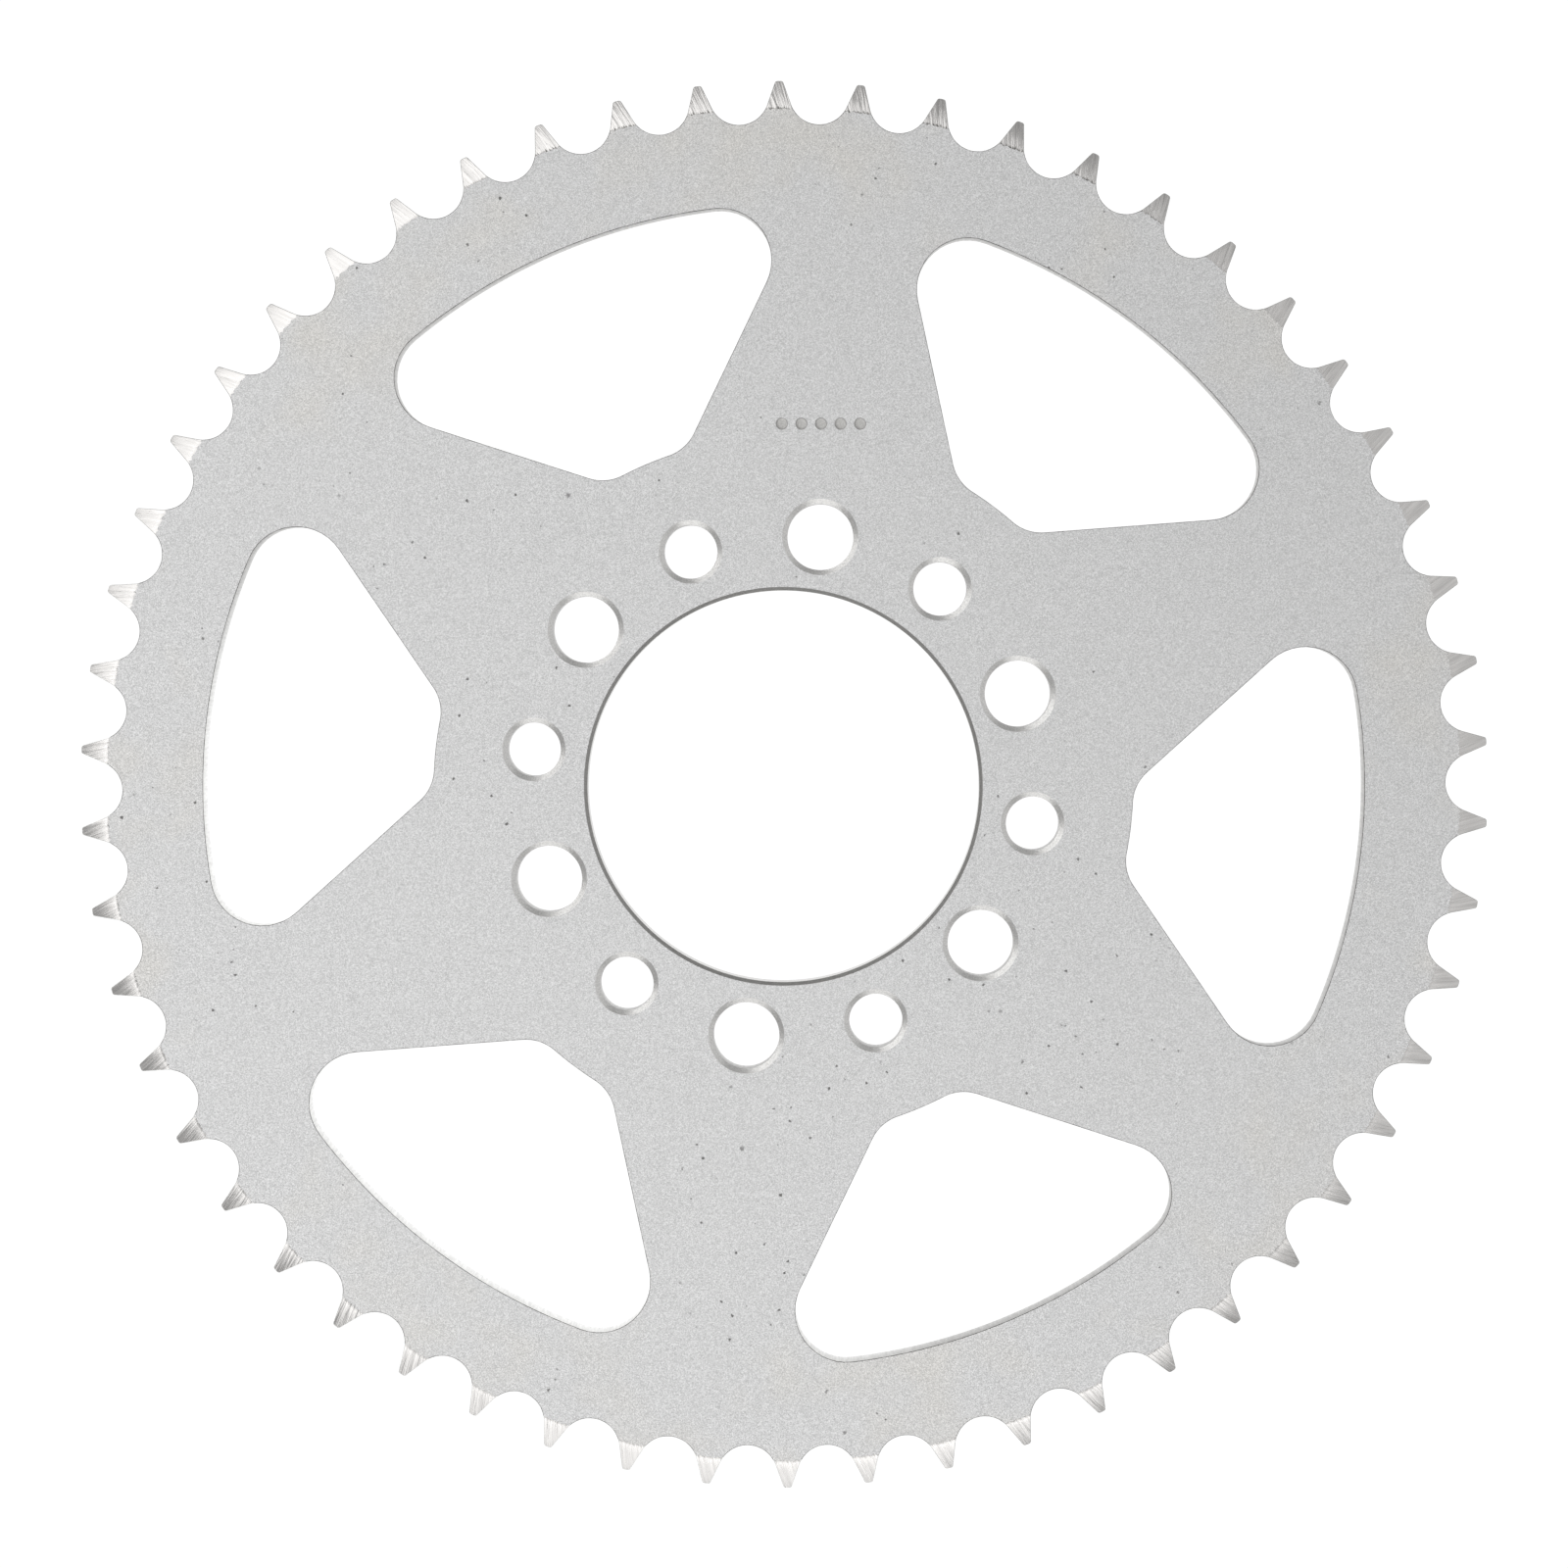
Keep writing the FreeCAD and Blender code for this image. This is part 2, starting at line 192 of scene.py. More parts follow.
@dataclass
class Strip:
    """An open piece of the plate's skin, in millimetres, with a zone for each face."""

    points: list[Vector] = field(default_factory=list)
    faces: list[tuple[int, ...]] = field(default_factory=list)
    zones: list[Zone] = field(default_factory=list)

    def row(self, points: Sequence[Vector]) -> list[int]:
        """Add a row of points.

        Args:
            points: the row's points, in order.

        Returns:
            Their numbers in the strip.
        """
        first = len(self.points)
        self.points.extend(points)
        return list(range(first, len(self.points)))

    def bridge(self, one: Sequence[int], other: Sequence[int], zone: Zone, closed: bool = False) -> None:
        """Lay four-sided faces between two rows of the same length.

        Args:
            one: the first row's points.
            other: the second row's points.
            zone: the finish of the faces.
            closed: whether the rows run right round and meet their own start.
        """
        pairs = list(zip(one, other))
        if closed:
            pairs.append(pairs[0])
        for (a, b), (d, c) in zip(pairs, pairs[1:]):
            self.faces.append((a, b, c, d))
            self.zones.append(zone)

    def to_object(self, name: str, finishes: Finishes) -> bpy.types.Object:
        """Make a Blender object of the strip, still in millimetres.

        Args:
            name: the object's name.
            finishes: the material of each zone.

        Returns:
            The object, linked to the scene.
        """
        mesh = bpy.data.meshes.new(name)
        mesh.from_pydata(self.points, [], self.faces)
        for zone in Zone:
            mesh.materials.append(finishes[zone])
        mesh.polygons.foreach_set("material_index", [zone.value for zone in self.zones])
        return in_scene(name, mesh)


@dataclass(frozen=True)
class Repeat:
    """Sets copies of one strip round the axis or along a row, with a node tree.

    The first copy goes to its place and is turned to its start. Each next one is a step and a turn further.
    """

    count: int
    turn: float = 0.0
    start: float = 0.0
    place: tuple[float, float, float] = (0.0, 0.0, 0.0)
    step: tuple[float, float, float] = (0.0, 0.0, 0.0)

    def tree(self, name: str, finishes: Sequence[bpy.types.Material]) -> bpy.types.GeometryNodeTree:
        """Build the tree: points, one copy on each, made real, and each zone given its finish.

        Args:
            name: the tree's name.
            finishes: the materials, in the zones' order.

        Returns:
            The tree, with a named input for each size.
        """
        tree = bpy.data.node_groups.new(name, "GeometryNodeTree")
        tree.is_modifier = True
        for label, kind in (("Geometry", "Geometry"), ("Count", "Int"), ("Turn", "Float"), ("Start", "Float"),
                            ("Place", "Vector"), ("Step", "Vector")):
            tree.interface.new_socket(label, in_out="INPUT", socket_type=f"NodeSocket{kind}")
        tree.interface.new_socket("Geometry", in_out="OUTPUT", socket_type="NodeSocketGeometry")
        nodes = Nodes(tree)
        given = nodes.add("NodeGroupInput").outputs
        index = nodes.add("GeometryNodeInputIndex").outputs[0]
        stride = nodes.add(VECTOR_MATH, {0: given["Step"], "Scale": index}, operation="SCALE")
        spot = nodes.add(VECTOR_MATH, [given["Place"], stride], operation="ADD")
        points = nodes.add("GeometryNodePoints", {"Count": given["Count"], "Position": spot})
        swing = nodes.add(MATH, [index, given["Turn"], given["Start"]], operation="MULTIPLY_ADD")
        turned = nodes.add(JOIN_XYZ, {"Z": swing})
        copies = nodes.add("GeometryNodeInstanceOnPoints", {
            "Points": points, "Instance": given["Geometry"], "Rotation": turned})
        flow = nodes.add("GeometryNodeRealizeInstances", [copies])
        material_index = nodes.add("GeometryNodeInputMaterialIndex")
        for zone in Zone:
            here = nodes.add("FunctionNodeCompare", {2: material_index, 3: zone.value},
                             data_type="INT", operation="EQUAL")
            flow = nodes.add("GeometryNodeSetMaterial", {
                "Geometry": flow, "Selection": here, "Material": finishes[zone.value]})
        nodes.add("NodeGroupOutput", [flow])
        return tree

    def apply(self, unit: bpy.types.Object) -> bpy.types.Mesh:
        """Repeat a unit and return one plain mesh; the unit itself is removed.

        Args:
            unit: the object that holds one copy.

        Returns:
            The mesh of all copies.
        """
        modifier = unit.modifiers.new("repeat", "NODES")
        modifier.node_group = self.tree(f"repeat_{unit.name}", unit.data.materials)
        values = {"Count": self.count, "Turn": math.radians(self.turn), "Start": math.radians(self.start),
                  "Place": self.place, "Step": self.step}
        for item in modifier.node_group.interface.items_tree:
            if item.in_out == "INPUT" and item.name in values:
                modifier[item.identifier] = values[item.name]
        bpy.context.view_layer.update()
        graph = bpy.context.evaluated_depsgraph_get()
        mesh = bpy.data.meshes.new_from_object(unit.evaluated_get(graph), depsgraph=graph)
        bpy.data.objects.remove(unit)
        return mesh


# ---- sub-assemblies


class Ring:
    """A sub-assembly that is one strip, repeated evenly round the bore axis."""

    count: int
    phase: float

    def unit(self) -> Strip:
        """The strip that is repeated."""
        raise NotImplementedError

    def build(self, finishes: Finishes) -> bpy.types.Mesh:
        """All the copies as one open mesh."""
        unit = self.unit().to_object(f"{type(self).__name__}_unit", finishes)
        return Repeat(self.count, turn=360 / self.count, start=self.phase).apply(unit)


@dataclass(frozen=True)
class ToothRing(Ring):
    """The rim's teeth for a roller chain: round seats, leaning flanks and ground reliefs on both sides.

    Sizes are in millimetres and degrees. A side relief falls away on the rounded curve of the grinding wheel,
    from its starting slope to the full depth at the tips, and its start is uneven by up to the jag.
    """

    thickness: float
    edge_break: float
    count: int = 54
    chain_pitch: float = 12.7
    roller_diameter: float = 8.51
    seat_clearance: float = 0.495
    flank_lean: float = 22.0
    tooth_top: float = 1.18
    tip_corner: float = 0.45
    relief_length: float = 4.7
    relief_depth: float = 1.6
    relief_start_slope: float = 13.0
    phase: float = 2.11
    seat_steps: int = 9
    relief_seat_steps: int = 3
    flank_steps: int = 6
    corner_steps: int = 5
    columns: int = 16
    jag: float = 0.3

    @property
    def seat(self) -> float:
        """Radius of a tooth gap's round seat."""
        return self.roller_diameter / 2 + self.seat_clearance

    @property
    def root(self) -> float:
        """Distance from the axis to the bottom of a tooth gap."""
        return self.chain_pitch / (2 * math.sin(math.pi / self.count)) - self.roller_diameter / 2

    @property
    def tip(self) -> float:
        """Distance from the axis to a tooth's top, where the flanks leave the stated width.

        Returns:
            The radius, in millimetres.
        """
        lean = math.radians(self.flank_lean)
        to_tooth = lean - math.pi / self.count
        return (((self.root + self.seat) * math.sin(lean) - self.seat
                 - self.tooth_top / 2 * math.cos(to_tooth)) / math.sin(to_tooth))

    @property
    def relief_start(self) -> float:
        """Distance from the axis to where the side reliefs begin."""
        return self.tip - self.relief_length

    def surface(self, radius: float) -> float:
        """Height of the front surface, on the flat or on the relief.

        Args:
            radius: distance from the axis.

        Returns:
            The height above the back face.
        """
        reach = max(0.0, radius - self.relief_start)
        slope = math.tan(math.radians(self.relief_start_slope))
        bend = (self.relief_depth - slope * self.relief_length) / self.relief_length ** 2
        return self.thickness - slope * reach - bend * reach ** 2

    def half_outline(self, inset: float) -> list[Vector]:
        """The outline from the middle of a gap to the end of the tooth's rounded corner.

        Args:
            inset: how far the outline is moved into the metal.

        Returns:
            The points. The relief begins where the seat's own steps end.
        """
        lean = self.flank_lean
        centre = Vector((self.root + self.seat, 0, 0))
        normal, along = polar(1, lean + 90), polar(1, lean)
        offset = centre.dot(normal) + self.seat + self.tip_corner
        rounding = normal * offset + along * math.sqrt((self.tip - self.tip_corner) ** 2 - offset ** 2)
        swing = math.degrees(math.atan2(rounding.y, rounding.x))
        seat = self.seat + self.edge_break
        split = math.degrees(math.acos((self.relief_start ** 2 - centre.x ** 2 - seat ** 2)
                                       / (2 * centre.x * seat)))
        seat_angles = spaced(180, split, self.seat_steps)
        seat_angles += spaced(split, 90 + lean, self.relief_seat_steps)[1:]
        points = [centre + polar(self.seat + inset, angle) for angle in seat_angles]
        corner_angles = spaced(lean - 90, swing, self.corner_steps)
        corner = [rounding + polar(self.tip_corner - inset, angle) for angle in corner_angles]
        foot = points[-1]
        points += [foot.lerp(corner[0], step) for step in spaced(0, 1, self.flank_steps)[1:]]
        return points + corner[1:]

    def whole_outline(self, inset: float) -> list[Vector]:
        """The outline from one gap's middle over a tooth to the next gap's middle.

        Args:
            inset: how far the outline is moved into the metal.

        Returns:
            The points.
        """
        half = self.half_outline(inset)
        first = math.degrees(math.atan2(half[-1].y, half[-1].x))
        top_angles = spaced(first, 360 / self.count - first, self.columns)[1:-1]
        top = [polar(self.tip - inset, angle) for angle in top_angles]
        mirrored = [self.mirrored(point) for point in reversed(half)]
        return half + top + mirrored

    def mirrored(self, point: Vector) -> Vector:
        """The mirror image of a point on the other side of the tooth's middle line."""
        angle = math.degrees(math.atan2(point.y, point.x))
        return polar(math.hypot(point.x, point.y), 360 / self.count - angle, point.z)

    def lift(self, height: float, front: bool) -> float:
        """Height of a point on the front, or of its mirror image on the back."""
        return height if front else self.thickness - height

    def edge(self, strip: Strip, front: bool) -> list[int]:
        """Lay one side's broken edge: a hairline of painted shade along the seats, plain over the tooth.

        Args:
            strip: the tooth's strip.
            front: whether this is the front side.

        Returns:
            The numbers of the points where the edge meets the wall.
        """
        outer, inner = self.whole_outline(0.0), self.whole_outline(self.edge_break)
        heights = [self.surface(math.hypot(point.x, point.y)) for point in inner]
        rim = strip.row([Vector((p.x, p.y, self.lift(h, front))) for p, h in zip(inner, heights)])
        wall = strip.row([Vector((p.x, p.y, self.lift(h - self.edge_break, front)))
                          for p, h in zip(outer, heights)])
        split, final = self.seat_steps, len(rim) - 1
        for first, last, zone in ((0, split, Zone.EDGE), (split, final - split, Zone.WALL),
                                  (final - split, final, Zone.EDGE)):
            strip.bridge(rim[first:last + 1], wall[first:last + 1], zone)
        return wall

    def relief(self, strip: Strip, front: bool, chance: random.Random) -> None:
        """Lay one side's ground relief, from its uneven start to the tooth's top.

        Args:
            strip: the tooth's strip.
            front: whether this is the front side.
            chance: where the unevenness of the start comes from.
        """
        rows = []
        for start in self.half_outline(self.edge_break)[self.seat_steps:]:
            radius = math.hypot(start.x, start.y)
            first = math.degrees(math.atan2(start.y, start.x))
            height = self.lift(self.surface(radius) if rows else self.thickness, front)
            points = [polar(radius, angle, height)
                      for angle in spaced(first, 360 / self.count - first, self.columns)]
            if not rows:
                for point in points[1:-1]:
                    point.xy *= 1 + chance.uniform(0, self.jag) / radius
            rows.append(strip.row(points))
        for low, high in zip(rows, rows[1:]):
            strip.bridge(low, high, Zone.RELIEF)

    def unit(self) -> Strip:
        """One tooth with half a gap on each side: wall, broken edges and both ground reliefs.

        Returns:
            The tooth's strip, between the middles of two gaps.
        """
        strip, chance = Strip(), random.Random(self.count)
        walls = []
        for front in (True, False):
            walls.append(self.edge(strip, front))
            self.relief(strip, front, chance)
        strip.bridge(walls[0], walls[1], Zone.WALL)
        return strip


@dataclass(frozen=True)
class Windows(Ring):
    """The openings between the spokes: two arcs about the bore, two leaning sides and four round corners.

    An arc's share is of the angle that one window and one spoke take up together.
    """

    thickness: float
    edge_break: float
    inner: float
    outer: float
    count: int = 6
    hub_arc_share: float = 0.1379
    rim_arc_share: float = 0.5456
    inner_corner: float = 6.95
    outer_corner: float = 8.15
    phase: float = 1.65
    arc_steps: int = 24
    corner_steps: int = 14
    side_steps: int = 10

    def outline(self, inset: float) -> list[Vector]:
        """The closed outline of the window on +X.

        Args:
            inset: how far the outline is moved out into the metal.

        Returns:
            The points, counter-clockwise from the start of the rim arc.
        """
        sector = 180 / self.count
        inner_swing, outer_swing = sector * self.hub_arc_share, sector * self.rim_arc_share
        low = polar(self.inner + self.inner_corner, inner_swing)
        high = polar(self.outer - self.outer_corner, outer_swing)
        reach = high - low
        lean = math.degrees(math.atan2(reach.y, reach.x)
                            + math.asin((self.outer_corner - self.inner_corner) / reach.length))
        outer_corner = [high + polar(self.outer_corner + inset, angle)
                        for angle in spaced(outer_swing, lean + 90, self.corner_steps)]
        inner_corner = [low + polar(self.inner_corner + inset, angle)
                        for angle in spaced(lean + 90, inner_swing + 180, self.corner_steps)]
        side = [outer_corner[-1].lerp(inner_corner[0], share)
                for share in spaced(0, 1, self.side_steps)[1:-1]]
        upper = outer_corner + side + inner_corner
        lower = [Vector((p.x, -p.y, 0)) for p in reversed(upper)]
        rim_angles = spaced(-outer_swing, outer_swing, self.arc_steps)
        hub_angles = spaced(inner_swing, -inner_swing, self.corner_steps)
        rim = [polar(self.outer + inset, angle) for angle in rim_angles]
        hub = [polar(self.inner - inset, angle) for angle in hub_angles]
        return rim[1:-1] + upper + hub[1:-1] + lower

    def unit(self) -> Strip:
        """One window: its wall and the broken edge on both faces.

        Returns:
            The strip of the window on +X.
        """
        strip = Strip()
        face, wall = self.outline(self.edge_break), self.outline(0.0)
        heights = (self.thickness, self.thickness - self.edge_break, self.edge_break, 0.0)
        rows = [strip.row([Vector((p.x, p.y, height)) for p in outline])
                for outline, height in zip((face, wall, wall, face), heights)]
        for (one, other), zone in zip(zip(rows, rows[1:]), (Zone.EDGE, Zone.WALL, Zone.EDGE)):
            strip.bridge(one, other, zone, closed=True)
        return strip


@dataclass(frozen=True)
class RoundHoles(Ring):
    """Drilled or turned holes through the plate, with a chamfer on both faces.

    The chamfer is the ring's width seen along the hole, and its angle is that of the whole cone. The offset
    is how far a hole lies from the bore axis.
    """

    thickness: float
    radius: float
    chamfer: float
    angle: float
    steps: int
    wall: Zone
    mouth: Zone
    offset: float = 0.0
    count: int = 1
    phase: float = 0.0

    def unit(self) -> Strip:
        """The wall and chamfers of one hole.

        Returns:
            The strip, with the hole's own axis at the offset along +X.
        """
        strip = Strip()
        centre = Vector((self.offset, 0, 0))
        wide, top = self.radius + self.chamfer, self.thickness
        deep = self.chamfer / math.tan(math.radians(self.angle / 2))
        profile = ((wide, top), (self.radius, top - deep), (self.radius, deep), (wide, 0.0))
        angles = spaced(0, 360, self.steps)[:-1]
        rows = [strip.row([centre + polar(radius, angle, height) for angle in angles])
                for radius, height in profile]
        for (one, other), zone in zip(zip(rows, rows[1:]), (self.mouth, self.wall, self.mouth)):
            strip.bridge(one, other, zone, closed=True)
        return strip


@dataclass(frozen=True)
class BatchMark:
    """A row of plain round impressions in the front face, on one spoke.

    The spoke is counted in windows from the first one, and the row stands off its middle by the shift. The
    dish holds the share of the radius and of the depth of each ring of one impression.
    """

    thickness: float
    windows: Windows
    count: int = 5
    diameter: float = 1.9
    pitch: float = 3.1
    depth: float = 0.15
    spoke: float = 1.5
    shift: float = 0.85
    rise: float = 2.3
    tilt: float = 5.9
    steps: int = 28
    dish: tuple[tuple[float, float], ...] = ((1.0, 0.0), (0.95, 0.55), (0.84, 0.92), (0.5, 1.0))

    def unit(self) -> Strip:
        """One impression, dished towards its middle.

        Returns:
            The strip, about its own axis.
        """
        strip = Strip()
        radius, top = self.diameter / 2, self.thickness
        angles = spaced(0, 360, self.steps)[:-1]
        rows = [strip.row([polar(radius * reach, angle, top - self.depth * sunk) for angle in angles])
                for reach, sunk in self.dish]
        for one, other in zip(rows, rows[1:]):
            strip.bridge(one, other, Zone.MARK, closed=True)
        middle = strip.row([Vector((0, 0, top - self.depth))])[0]
        strip.faces += [(a, b, middle) for a, b in zip(rows[-1], [*rows[-1][1:], rows[-1][0]])]
        strip.zones += [Zone.MARK] * self.steps
        return strip

    def build(self, finishes: Finishes) -> bpy.types.Mesh:
        """The whole row as one open mesh.

        Args:
            finishes: the material of each zone.

        Returns:
            The mesh of all the impressions.
        """
        angle = self.windows.phase + self.spoke * 360 / self.windows.count + self.shift
        middle = polar(self.windows.inner + self.rise, angle)
        step = polar(self.pitch, angle - 90 + self.tilt)
        first = middle - step * (self.count - 1) / 2
        unit = self.unit().to_object("mark_unit", finishes)
        return Repeat(self.count, place=first.to_tuple(), step=step.to_tuple()).apply(unit)


# ---- finishes


@dataclass(frozen=True)
class Finish:
    """What one zone of the plate is made of and how its surface was made."""

    name: str
    colour: str
    roughness: float
    metallic: float = 1.0

    def material(self) -> bpy.types.Material:
        """Make the material; each finish adds its own pattern.

        Returns:
            The material, with its pattern laid in the plate's own coordinates.
        """
        made = bpy.data.materials.new(self.name)
        made.use_nodes = True
        made.diffuse_color = linear(self.colour)
        nodes = Nodes(made.node_tree)
        nodes.tree.nodes.clear()
        shader = nodes.add("ShaderNodeBsdfPrincipled", {
            "Base Color": linear(self.colour), "Roughness": self.roughness, "Metallic": self.metallic})
        nodes.add("ShaderNodeOutputMaterial", {"Surface": shader})
        self.pattern(Surface(nodes.tree, shader, nodes.add("ShaderNodeTexCoord").outputs["Object"]))
        return made

    def pattern(self, on: Surface) -> None:
        """Lay the finish's own pattern on the surface."""
        raise NotImplementedError

    @staticmethod
    def toned(on: Surface, base: Node | Colour, tone: Node) -> Node:
        """Make a colour darker or lighter.

        Args:
            on: the surface.
            base: the colour.
            tone: the factor; 1 leaves the colour as it is.

        Returns:
            The node that gives the new colour.
        """
        grey = on.add("ShaderNodeCombineColor", [tone, tone, tone])
        return on.add(MIX, {0: 1.0, 6: base, 7: grey}, data_type="RGBA", blend_type="MULTIPLY")


@dataclass(frozen=True)
class BlastedZincFace(Finish):
    """Steel blasted with fine grit and then bright zinc plated: matte pale grey with a tight sparkle.

    Real crystals are too fine to show at this distance, so they are drawn several times as coarse.
    """

    name: str = "zinc_plated_steel_blasted"
    colour: str = "#C2C2C2"
    roughness: float = 0.5
    sheen: Range = (0.42, 0.58)
    crystal_mm: float = 0.12
    crystal_share: float = 0.85
    grit_span: Range = (0.05, 0.95)
    grit_tone: Range = (0.75, 1.25)
    grit_depth_mm: float = 0.02
    grit_strength: float = 0.4
    grain_mm: float = 0.24
    cloud_mm: float = 2.2
    cloud_tone: Range = (-0.006, 0.006)
    stain: str = "#C4C1BB"
    stain_mm: float = 16.0
    stain_span: Range = (0.5, 0.7)
    stain_band_mm: Range = (84.0, 96.0)
    stain_share: float = 0.45
    pit: str = "#3E3C39"
    pit_spacing_mm: float = 2.0
    pit_radius_mm: float = 0.24
    pit_group_mm: float = 20.0
    pit_group_span: Range = (0.5, 0.6)
    pit_share: float = 0.8
    nick_spacing_mm: float = 11.0
    nick_radius_mm: float = 0.42
    nick_and_glint_share: float = 0.6
    wobble_size: float = 1.5
    wobble_reach: float = 2.2
    largest: float = 1.4
    soft_edge: float = 0.5

    def pattern(self, on: Surface) -> None:
        """Lay crystals, soft clouds, stains and dark spots, on a surface as fine as the grit.

        Args:
            on: the surface.
        """
        cells = on.add(CELLS, {"Vector": on.place, "Scale": per_metre(self.crystal_mm)})
        crystal = on.add(SPLIT_COLOUR, [cells.outputs["Color"]])
        grain, cloud = (on.add(NOISE, {"Vector": on.place, "Scale": per_metre(size_mm), "Detail": 1.0})
                        for size_mm in (self.grain_mm, self.cloud_mm))
        fine = on.add(MATH, [grain, 1 - self.crystal_share], operation="MULTIPLY")
        grit = on.add(MATH, [crystal, self.crystal_share, fine], operation="MULTIPLY_ADD")
        sparkle = on.add(RANGE, [grit, *self.grit_span, *self.grit_tone])
        clouds = on.add(RANGE, [cloud, *SPREAD, *self.cloud_tone])
        tone = on.add(MATH, [sparkle, clouds], operation="ADD")
        grained = self.toned(on, self.stained(on), tone)
        on.feed("Base Color", on.add(MIX, {0: self.dark_spots(on), 6: grained, 7: linear(self.pit)},
                                     data_type="RGBA"))
        on.feed("Normal", on.add(BUMP, {
            "Height": grit, "Distance": self.grit_depth_mm * MM, "Strength": self.grit_strength}))
        on.feed("Roughness", on.add(RANGE, [grain, *SPREAD, *self.sheen]))

    def stained(self, on: Surface) -> Node:
        """The base colour with faint warm stains that show only near the rim.

        Args:
            on: the surface.

        Returns:
            The node that gives the colour.
        """
        outward = on.add(VECTOR_MATH, [on.place], operation="LENGTH")
        inner, outer = self.stain_band_mm
        near_rim = on.add(RANGE, [outward, inner * MM, outer * MM, 0.0, self.stain_share])
        drift = on.add(NOISE, {"Vector": on.place, "Scale": per_metre(self.stain_mm), "Detail": 2.0})
        patch = on.add(RANGE, [drift, *self.stain_span])
        share = on.add(MATH, [patch, near_rim], operation="MULTIPLY")
        return on.add(MIX, {0: share, 6: linear(self.colour), 7: linear(self.stain)}, data_type="RGBA")

    def dark_spots(self, on: Surface) -> Node:
        """Small pits in loose groups, and a few larger and paler nicks.

        Args:
            on: the surface.

        Returns:
            The node that says how dark the spots are, from 0 to 1.
        """
        drift = on.add(NOISE, {"Vector": on.place, "Scale": per_metre(self.pit_group_mm), "Detail": 0.0})
        group = on.add(RANGE, [drift, *self.pit_group_span, 0.0, self.pit_share])
        pits = self.spots(on, self.pit_spacing_mm, self.pit_radius_mm)
        grouped = on.add(MATH, [pits, group], operation="MULTIPLY")
        nicks = self.spots(on, self.nick_spacing_mm, self.nick_radius_mm)
        pale = on.add(MATH, [nicks, self.nick_and_glint_share], operation="MULTIPLY")
        return on.add(MATH, [grouped, pale], operation="MAXIMUM")

    def spots(self, on: Surface, spacing_mm: float, radius_mm: float) -> Node:
        """Small uneven spots, each with its own size down to none.

        Args:
            on: the surface.
            spacing_mm: distance between spots.
            radius_mm: the size that the wobble, the largest spot and the soft edge are shares of.

        Returns:
            The node that is 1 inside a spot and 0 outside.
        """
        wobble = on.add(NOISE, {"Vector": on.place, "Scale": per_metre(radius_mm * self.wobble_size)})
        reach = (radius_mm * MM * self.wobble_reach,) * 3
        bent = on.add(VECTOR_MATH, [wobble.outputs["Color"], reach, on.place], operation="MULTIPLY_ADD")
        cells = on.add(CELLS, {"Vector": bent, "Scale": per_metre(spacing_mm)})
        own = on.add(SPLIT_COLOUR, [cells.outputs["Color"]]).outputs["Green"]
        radius = radius_mm / spacing_mm
        limit = on.add(MATH, [own, radius * self.largest], operation="MULTIPLY")
        inside = on.add(MATH, [limit, cells], operation="SUBTRACT")
        return on.add(MATH, [inside, radius * self.soft_edge], operation="DIVIDE", use_clamp=True)


